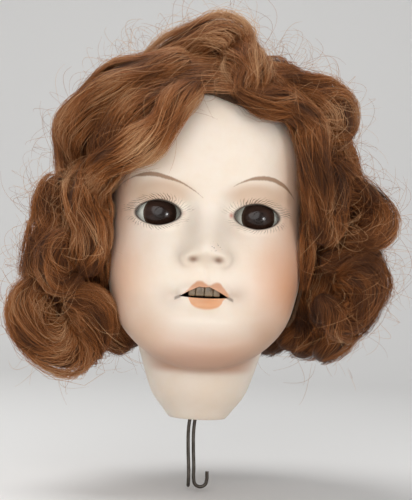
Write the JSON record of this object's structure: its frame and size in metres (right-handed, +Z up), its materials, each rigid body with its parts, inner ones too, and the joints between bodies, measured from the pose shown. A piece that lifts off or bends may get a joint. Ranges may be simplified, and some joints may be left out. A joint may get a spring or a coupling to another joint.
{
  "type": "bisque doll head",
  "caption": "Antique bisque doll head with a socket neck, sleeping glass eyes, open mouth with teeth, wavy auburn mohair wig and a wire neck hook.",
  "frame": {"origin": "centre of the ring under the socket neck", "axes": "+Z up through the crown, the face looks along -Y, +X to the right of someone who looks at the face"},
  "size_m": [0.1081, 0.0873, 0.1327],
  "materials": {
    "bisque": "unglazed, matt to silky, with fired tints on cheeks, lips, brows and lashes",
    "card": "pressed card, aged",
    "cap_cloth": "gauze",
    "mohair": "auburn mohair in waves and curls",
    "eye_glass": "opal glass, polished",
    "iris_glass": "dark brown glass, polished",
    "pupil_glass": "black glass, polished",
    "eyelid_wax": "tinted wax",
    "plaster": "plaster of Paris",
    "teeth": "glazed porcelain",
    "steel_wire": "dull, tarnished",
    "lead": "cast, dull",
    "cork": "cut cork",
    "wood": "turned, unvarnished"
  },
  "bodies": {
    "root": {"bisque_head": "bisque", "pate": "card", "wig_cap": "cap_cloth", "hair_base": "mohair", "crest_wave": "mohair", "wave_left": "mohair", "wave_right": "mohair", "temple_roll_right": "mohair", "temple_roll_left": "mohair", "side_lock_right": "mohair", "mid_lock_right": "mohair", "lower_curl_right": "mohair", "outer_curl_right": "mohair", "side_lock_left": "mohair", "mid_lock_left": "mohair", "spiral_curl_left": "mohair", "lower_curl_left": "mohair", "cheek_lock_left": "mohair", "cheek_lock_right": "mohair", "crown_lock_1": "mohair", "crown_lock_2": "mohair", "crown_lock_3": "mohair", "back_lock_1": "mohair", "back_lock_2": "mohair", "back_lock_3": "mohair", "back_lock_4": "mohair", "back_lock_5": "mohair", "back_lock_6": "mohair", "back_lock_7": "mohair", "back_lock_8": "mohair", "left_eye_seat": "plaster", "right_eye_seat": "plaster", "chin_cork": "cork", "tooth_row": "teeth", "tooth_plaster": "plaster"},
    "eyes": {"left_eye": "eye_glass", "left_iris": "iris_glass", "left_pupil": "pupil_glass", "left_eyelid": "eyelid_wax", "left_eye_plaster": "plaster", "right_eye": "eye_glass", "right_iris": "iris_glass", "right_pupil": "pupil_glass", "right_eyelid": "eyelid_wax", "right_eye_plaster": "plaster", "eye_wire": "steel_wire", "lead_weight": "lead"},
    "button": {"neck_button": "wood"},
    "pin": {"hook_pin": "steel_wire"},
    "hook": {"neck_hook": "steel_wire"}
  },
  "joints": [
    {"name": "eyes_rock", "type": "hinge", "parent": "root", "child": "eyes", "pos_m": [0, -0.0122, 0.057], "axis": [1, 0, 0], "range_deg": [0, 64]},
    {"name": "button_swivel", "type": "hinge", "parent": "root", "child": "button", "pos_m": [0, 0, 0.003], "axis": [0, 0, 1], "continuous": true},
    {"name": "hook_lift", "type": "slide", "parent": "button", "child": "pin", "axis": [0, 0, 1], "range_m": [0, 0.004]},
    {"name": "hook_swing", "type": "hinge", "parent": "pin", "child": "hook", "pos_m": [0, 0, 0.01058], "axis": [0, 1, 0], "range_deg": [-4, 4]}
  ]
}
